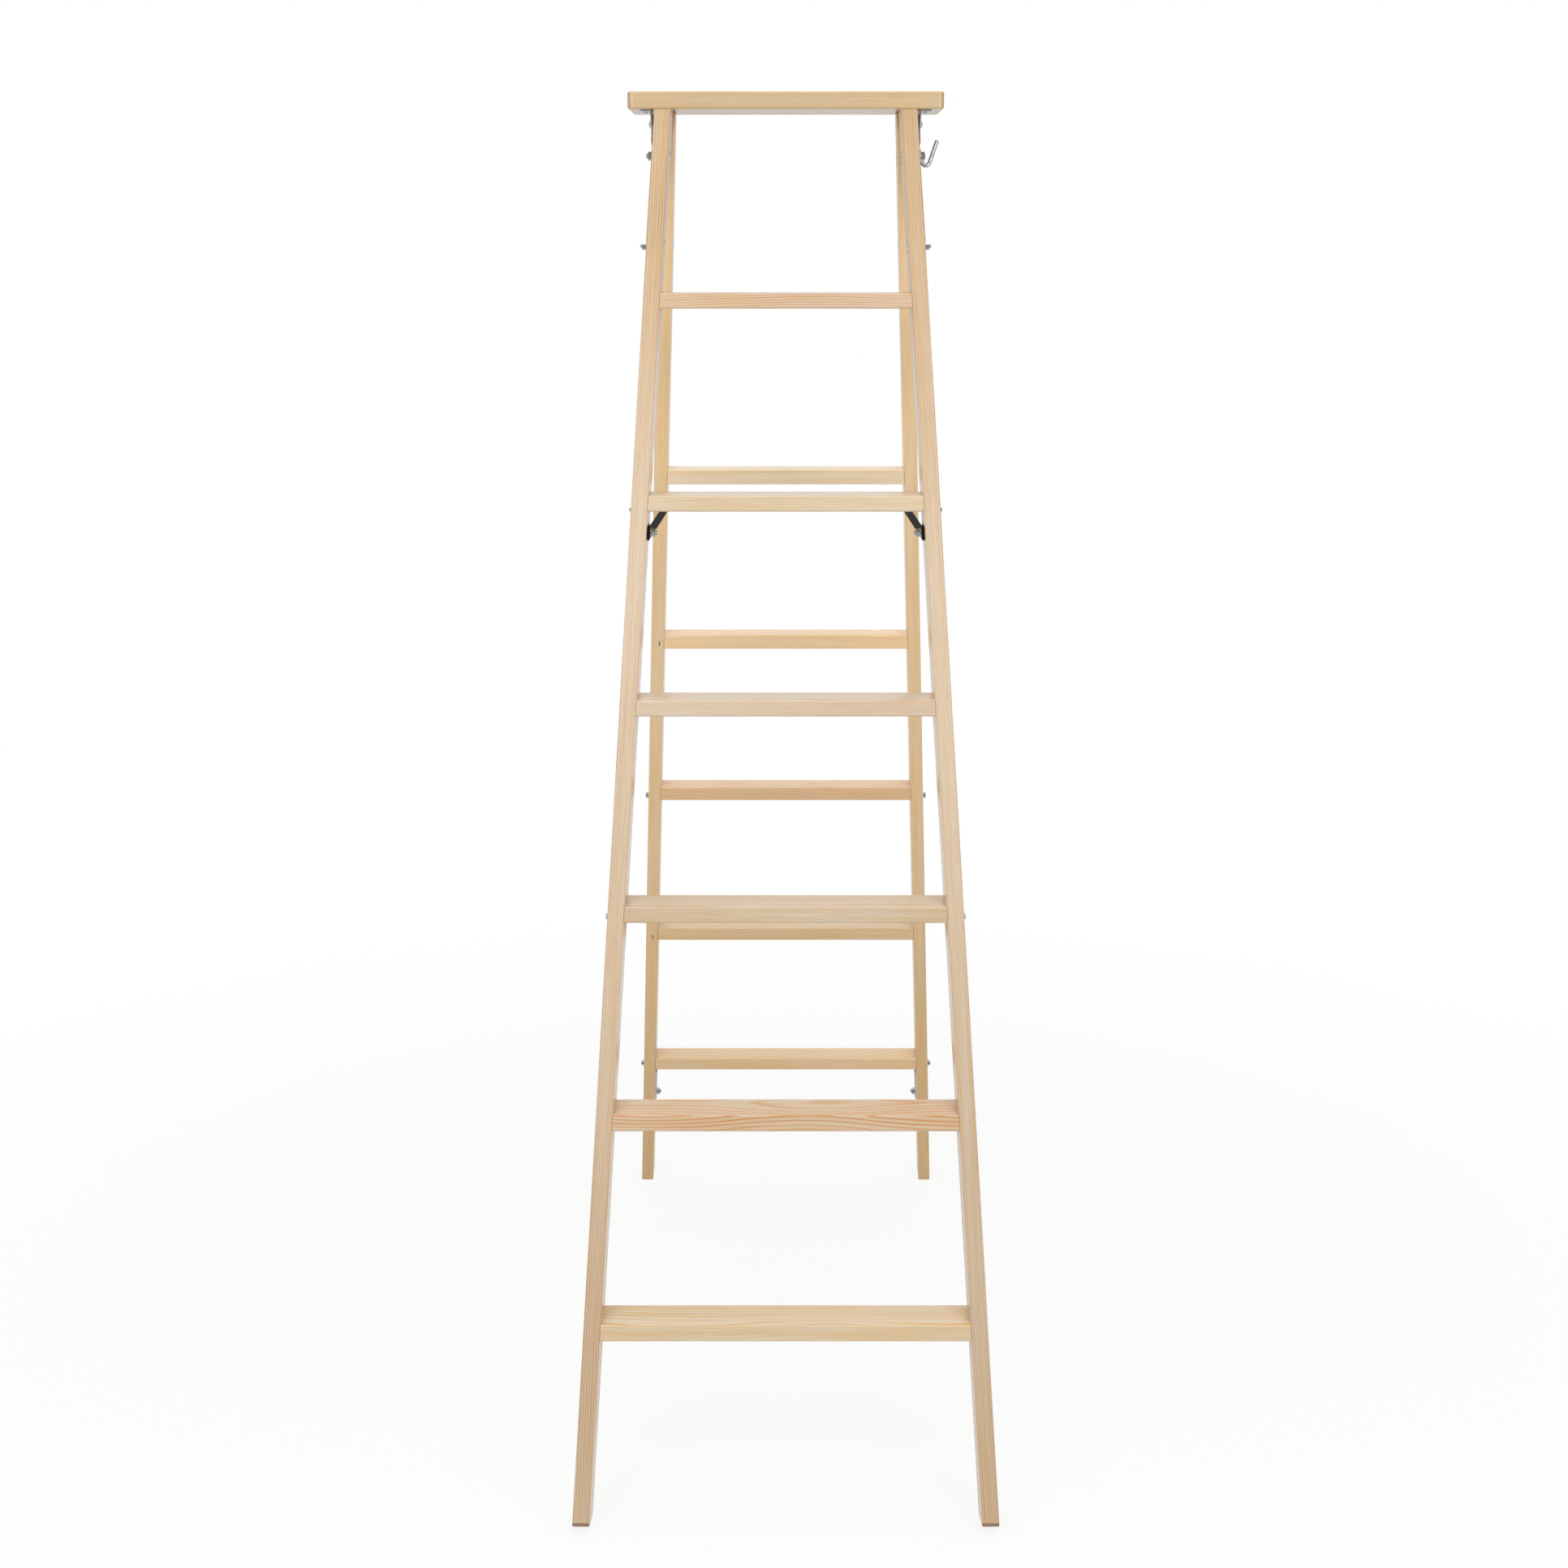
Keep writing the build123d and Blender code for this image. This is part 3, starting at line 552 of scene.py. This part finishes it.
strap_lines = {side: strap_line(side) for side in ("left", "right")}
print("strap line of", len(strap_lines["left"][0]), "points")

# %% [markdown]
# ## Weaving the straps
# A curve with a flat profile could twist at the folds. So a thin closed band with soft edges is swept along
# each line by hand, ring after ring of points joined by faces. It takes the place of the plain solid.

# %% Weave the straps
EDGE_STEPS = 5            # points across each side of the band
EDGE_THIN = 0.55          # thickness of the band's edges, as a share
BAND_THIN = 0.96          # thickness of the band as a share of the webbing's, so that its layers stay apart


def ring_of(mesh, point, height, side, thickness):
    """The points round the band at one place of its line."""
    ring = []
    for way in (1, -1):
        for i in range(EDGE_STEPS):
            share = i / (EDGE_STEPS - 1) if way == 1 else 1 - i / (EDGE_STEPS - 1)
            rounded = 1.0 if 0 < i < EDGE_STEPS - 1 else EDGE_THIN
            spot = point + height * (share - 0.5) + side * way * thickness / 2 * rounded
            ring.append(mesh.verts.new(spot))
    return ring


def new_piece(name, mesh, finish):
    """An object made of a finished mesh."""
    data = bpy.data.meshes.new(name)
    mesh.to_mesh(data)
    mesh.free()
    data.materials.append(finish)
    piece = bpy.data.objects.new(name, data)
    bpy.context.scene.collection.objects.link(piece)
    return piece


def band(name, points, height, thickness):
    """A thin closed band with rounded edges, swept along the line."""
    mesh = bmesh.new()
    rings = []
    for index, point in enumerate(points):
        ahead = (points[min(index + 1, len(points) - 1)] - points[max(index - 1, 0)]).normalized()
        rings.append(ring_of(mesh, point, height, height.cross(ahead).normalized(), thickness))
    for first, second in zip(rings, rings[1:]):
        for i in range(len(first)):
            j = (i + 1) % len(first)
            mesh.faces.new((first[i], first[j], second[j], second[i]))
    mesh.faces.new(rings[0])
    mesh.faces.new(rings[-1][::-1])
    bmesh.ops.recalc_face_normals(mesh, faces=mesh.faces)
    return new_piece(name, mesh, webbing)


for side, (line, run, height) in strap_lines.items():
    strap = band("webbing_strap_" + side, line, height, BAND_THIN * STRAP_MM * MM)
    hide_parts("strap_" + side)
    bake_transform(strap)

# %% [markdown]
# ## Staples
# Two of the rungs are also held by a staple, driven through the front of the left rear stile into the tenon
# behind it. Only its crown shows, a short bar of bare steel that the wood has browned, which the eye takes
# for a small dull mark. It could be painted on the stile, but a real little bar catches the light. A ray
# from the front finds the face of the stile, and the crown is a box with rounded edges laid along the grain.

# %% Bare steel staples
STAPLES_MM = {"rung_staple_upper": (-187.0, 988.0), "rung_staple_lower": (-213.0, 484.0)}     # X and height
CROWN_MM = (2.0, 1.2, 8.0)     # width, depth and length
SUNK_PART = 6             # the middle lies a sixth of the depth under the face, so a third of it stands out
CROWN_ROUND_MM = 0.35
RUST_MM = 2.5             # size of the browner patches
RUST = ("#8A6A50", "#B08058")     # grey brown and rust brown
RAY_START = -2.0          # along Y, well in front of the ladder


def bare_steel(name):
    """Browned bare steel: patches of rust brown in a dull grey brown."""
    finish, tree, shader = new_finish(name)
    place = add_node(tree, "ShaderNodeTexCoord").outputs["Object"]
    patches = add_node(tree, "ShaderNodeTexNoise", {"Vector": place, "Scale": 1 / (RUST_MM * MM)}).outputs[0]
    grey, brown = (linear(colour) for colour in RUST)
    shade = add_node(tree, "ShaderNodeMix", {0: patches, 6: grey, 7: brown}, data_type="RGBA")
    tree.links.new(shade.outputs[2], shader.inputs["Base Color"])
    shader.inputs["Metallic"].default_value = 0.6     # rust is no metal, so it covers part of the shine
    shader.inputs["Roughness"].default_value = 0.55
    return finish


browned_steel = bare_steel("Browned bare steel")
stile_face = surface("rear_stile_left")
for name, (x, height) in STAPLES_MM.items():
    spot, outward = stile_face.ray_cast(Vector((x * MM, RAY_START, height * MM)), Vector((0, 1, 0)))[:2]
    mesh = bmesh.new()
    bmesh.ops.create_cube(mesh, size=MM)
    bmesh.ops.scale(mesh, vec=CROWN_MM, verts=mesh.verts)
    bmesh.ops.bevel(mesh, geom=mesh.edges[:], offset=CROWN_ROUND_MM * MM, segments=2, affect="EDGES")
    bmesh.ops.rotate(mesh, verts=mesh.verts, matrix=Matrix.Rotation(REAR_LEAN, 3, "X"))
    bmesh.ops.translate(mesh, verts=mesh.verts, vec=spot - outward * CROWN_MM[1] / SUNK_PART * MM)
    staple = new_piece(name, mesh, browned_steel)
    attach(staple, "rear_frame")
    print(name, "at", [round(v, 4) for v in spot])

# %% [markdown]
# ## Paper floor
# The ladder stands in a white studio, on a floor of pale paper that looks white to the camera. Lamps alone
# could make it white, but that much light would wash out pale wood. So most of the floor's look is white by
# itself, and a share of it takes the ladder's shadow, fading out further away. Bare white on every side
# would make metal look flat, so the floor that shiny pieces mirror is darker towards the camera.

# %% Paper floor
FLOOR_SIZE = 60.0
WHITE = "#FFFFFF"
PAPER = "#DAD8D5"         # colour of the paper where it throws light back at the ladder
SHADOW_SHARE = 0.13       # how much of the floor's look takes shadow, the rest is plain white
SHADOW_REACH = (0.7, 2.2)     # where that share begins to fade and where it ends, in metres from the middle
GLOOM = 0.3               # level of the dark part of the studio behind the camera, only where it is mirrored
GLOOM_FLOOR = (-3.0, -1.0)    # between these places along Y the floor goes from that level to white


def seen(tree, mirrored, unseen):
    """A level that is 1 for rays from the camera, another for mirrored rays and a third for the rest."""
    path = add_node(tree, "ShaderNodeLightPath").outputs
    shiny = add_node(tree, "ShaderNodeMix", {0: path["Is Glossy Ray"], 2: unseen, 3: mirrored}).outputs[0]
    return add_node(tree, "ShaderNodeMix", {0: path["Is Camera Ray"], 2: shiny, 3: 1.0}).outputs[0]


def studio_paper(name):
    """White paper: plain white in view, with a share that takes shadow near the ladder."""
    finish, tree, shader = new_finish(name)
    in_view = seen(tree, 1.0, 0.0)
    paper = add_node(tree, "ShaderNodeMix", {0: in_view, 6: linear(PAPER), 7: linear(WHITE)},
                     data_type="RGBA")
    tree.links.new(paper.outputs[2], shader.inputs["Base Color"])
    shader.inputs["Roughness"].default_value = 0.9
    place = add_node(tree, "ShaderNodeTexCoord").outputs["Object"]
    away = add_node(tree, "ShaderNodeVectorMath", {0: place}, operation="LENGTH").outputs["Value"]
    plain = add_node(tree, "ShaderNodeMapRange", span(away, 1 - SHADOW_SHARE, 1.0, *SHADOW_REACH),
                     interpolation_type="SMOOTHSTEP").outputs[0]
    share = add_node(tree, "ShaderNodeMath", {0: in_view, 1: plain}, operation="MULTIPLY").outputs[0]
    towards = add_node(tree, "ShaderNodeSeparateXYZ", {0: place}).outputs["Y"]
    lit = add_node(tree, "ShaderNodeMapRange", span(towards, GLOOM, 1.0, *GLOOM_FLOOR)).outputs[0]
    white = add_node(tree, "ShaderNodeEmission", {"Color": linear(WHITE), "Strength": seen(tree, lit, 1.0)})
    mixed = add_node(tree, "ShaderNodeMixShader", {0: share, 1: shader.outputs[0], 2: white.outputs[0]})
    tree.links.new(mixed.outputs[0], tree.nodes["Material Output"].inputs["Surface"])
    return finish


half = FLOOR_SIZE / 2
corners = [(-half, -half, 0), (half, -half, 0), (half, half, 0), (-half, half, 0)]
floor_mesh = bpy.data.meshes.new("studio_floor")
floor_mesh.from_pydata(corners, [], [(0, 1, 2, 3)])
floor_mesh.materials.append(studio_paper("White studio paper"))
floor = bpy.data.objects.new("studio_floor", floor_mesh)
bpy.context.scene.collection.objects.link(floor)
print("floor", FLOOR_SIZE, "m square")

# %% [markdown]
# ## White surround
# Walls could be built round the ladder, but an endless white surround has no corners to show. It is white
# to the camera and gives half of that as soft light from all sides. Mirrored, it is dark behind the camera,
# bright overhead and behind the ladder, and a little darker near the horizon. The direction of a ray, which
# a surround has as its generated coordinates, decides which of these it meets.

# %% White surround
SOFT_LIGHT = 0.5          # level of the surround as a source of light
BEHIND_CAMERA = (-0.7, 0.2)     # along Y, from the dark part to the bright one
OVERHEAD = (0.3, 0.8)     # along Z, from where the gloom lifts to where it is gone
HORIZON = 0.8             # level near the horizon
HORIZON_RISE = (0.08, 0.3)     # along Z, from that level to the full one
world = bpy.data.worlds.new("White surround")
bpy.context.scene.world = world
world.use_nodes = True
tree = world.node_tree
direction = add_node(tree, "ShaderNodeTexCoord").outputs["Generated"]
way = add_node(tree, "ShaderNodeSeparateXYZ", {0: direction}).outputs
behind = add_node(tree, "ShaderNodeMapRange", span(way["Y"], GLOOM, 1.0, *BEHIND_CAMERA)).outputs[0]
overhead = add_node(tree, "ShaderNodeMapRange", span(way["Z"], 0.0, 1.0, *OVERHEAD)).outputs[0]
brighter = add_node(tree, "ShaderNodeMath", {0: behind, 1: overhead}, operation="MAXIMUM").outputs[0]
horizon = add_node(tree, "ShaderNodeMapRange", span(way["Z"], HORIZON, 1.0, *HORIZON_RISE)).outputs[0]
mirrored = add_node(tree, "ShaderNodeMath", {0: brighter, 1: horizon}, operation="MULTIPLY").outputs[0]
background = tree.nodes["Background"]
background.inputs["Color"].default_value = linear(WHITE)
tree.links.new(seen(tree, mirrored, SOFT_LIGHT), background.inputs["Strength"])
print("surround gives", SOFT_LIGHT, "of its white as light")

# %% [markdown]
# ## Soft lamps
# Three large square lamps light the ladder, one from each side in front and one from above. Small lamps
# would draw hard shadows across the treads. Large ones near the ladder throw soft shadows, and they show in
# the metal as bright patches. The camera doesn't see the lamps themselves.

# %% Soft lamps
LAMPS = {                 # place, side in metres and power in watts
    "soft_box_left": ((-1.0, -2.0, 2.2), 1.0, 15.2),
    "soft_box_right": ((1.0, -2.0, 2.2), 1.0, 15.2),
    "soft_box_above": ((0.0, 0.2, 4.0), 1.6, 21),
}
ABOVE_MIDDLE = 0.3        # the lamps look at a point this far over the middle of the ladder
target = (cad_box[0] + cad_box[1]) / 2 + Vector((0, 0, ABOVE_MIDDLE))
for name, (place, size, watts) in LAMPS.items():
    lamp = bpy.data.lights.new(name, "AREA")
    lamp.size = size
    lamp.energy = watts
    holder = bpy.data.objects.new(name, lamp)
    holder.location = place
    holder.rotation_euler = (target - Vector(place)).to_track_quat("-Z", "Y").to_euler()
    holder.visible_camera = False
    bpy.context.scene.collection.objects.link(holder)
print(len(LAMPS), "soft boxes look at", [round(v, 2) for v in target])

# %% [markdown]
# ## Camera
# A camera could be set by eye. This one's place, tilt and lens were fitted to edges of the ladder in the
# photograph instead, so that the two pictures can be laid over each other. A picture from straight ahead
# doesn't tell how far the front frame leans, so that was taken as 16 degrees, and the camera's distance and
# lens go with that choice. It stands at about eye height and looks a little down.

# %% Camera
CAMERA_PLACE = (0.0, -3.0201, 1.5443)
TILT_DOWN = radians(13.431)
IMAGE_PX = 1932           # side of the photograph
FOCAL_PX = 2718.5         # focal length in its pixels
MIRROR_PX = 968.2         # the ladder's middle line in it
SENSOR_MM = 36.0
camera_data = bpy.data.cameras.new("photo_camera")
camera_data.sensor_width = SENSOR_MM
camera_data.lens = SENSOR_MM * FOCAL_PX / IMAGE_PX
camera_data.shift_x = -(MIRROR_PX - IMAGE_PX / 2) / IMAGE_PX
camera = bpy.data.objects.new("photo_camera", camera_data)
camera.location = CAMERA_PLACE
camera.rotation_euler = (radians(90) - TILT_DOWN, 0, 0)
bpy.context.scene.collection.objects.link(camera)
bpy.context.scene.camera = camera
bpy.context.scene.view_settings.view_transform = "Standard"
print("lens", round(camera_data.lens, 2), "mm")
